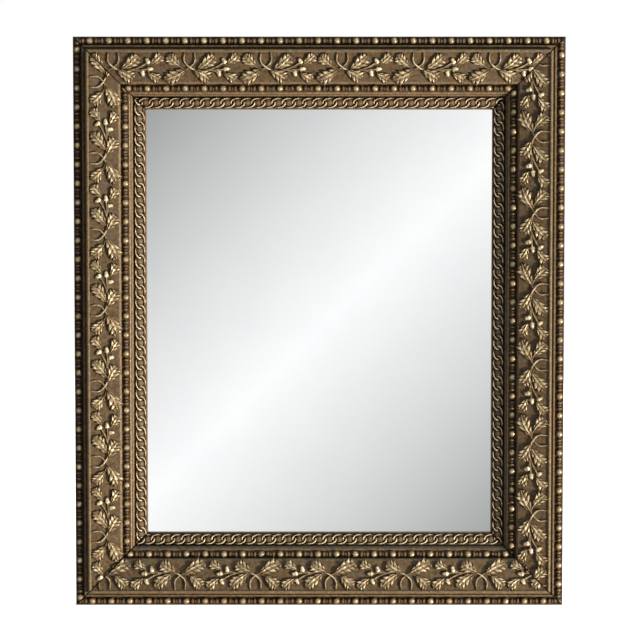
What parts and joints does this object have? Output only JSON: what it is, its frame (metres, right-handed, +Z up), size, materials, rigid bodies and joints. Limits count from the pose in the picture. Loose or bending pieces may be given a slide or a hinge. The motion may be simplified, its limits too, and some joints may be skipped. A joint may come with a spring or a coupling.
{
  "type": "wall mirror",
  "caption": "Upright wall mirror in a mitred gessoed wood frame with bead-and-reel, oak leaf frieze and chain sight edge, hung by rings on its back.",
  "frame": {"origin": "midway between the two wall hooks that the rings hang on, on the plane of the frame's back", "axes": "+Z up, +X to the viewer's right, the front and its glass face -Y and the back faces +Y to the wall"},
  "size_m": [0.6262, 0.0536, 0.7278],
  "materials": {
    "rail_wood": "bronzed gesso over wood",
    "gilt_moulding": "worn bronze gilding",
    "gilt_ornament": "worn gilding",
    "silvered_glass": "silvered glass",
    "backing_wood": "bare wood",
    "nail_steel": "dull steel",
    "hanger_brass": "dull brass",
    "ring_brass": "dull brass",
    "screw_steel": "dull steel"
  },
  "bodies": {
    "frame": {"top_rail": "rail_wood", "top_outer_beading": "gilt_moulding", "top_oak_frieze": "gilt_ornament", "top_inner_beading": "gilt_moulding", "top_sight_chain": "gilt_ornament", "right_rail": "rail_wood", "right_outer_beading": "gilt_moulding", "right_oak_frieze": "gilt_ornament", "right_inner_beading": "gilt_moulding", "right_sight_chain": "gilt_ornament", "bottom_rail": "rail_wood", "bottom_outer_beading": "gilt_moulding", "bottom_oak_frieze": "gilt_ornament", "bottom_inner_beading": "gilt_moulding", "bottom_sight_chain": "gilt_ornament", "left_rail": "rail_wood", "left_outer_beading": "gilt_moulding", "left_oak_frieze": "gilt_ornament", "left_inner_beading": "gilt_moulding", "left_sight_chain": "gilt_ornament", "mirror_plate": "silvered_glass", "backing_board": "backing_wood", "backing_brads": "nail_steel", "mitre_nails": "nail_steel", "left_hanger_strap": "hanger_brass", "right_hanger_strap": "hanger_brass", "hanger_screws": "screw_steel"},
    "left_ring": {"left_hanger_ring": "ring_brass"},
    "right_ring": {"right_hanger_ring": "ring_brass"}
  },
  "joints": [
    {"name": "left_ring_swing", "type": "hinge", "parent": "frame", "child": "left_ring", "pos_m": [-0.26805, 0.0025, -0.0131], "axis": [1, 0, 0], "range_deg": [0, 174]},
    {"name": "right_ring_swing", "type": "hinge", "parent": "frame", "child": "right_ring", "pos_m": [0.26805, 0.0025, -0.0131], "axis": [1, 0, 0], "range_deg": [0, 174]}
  ]
}
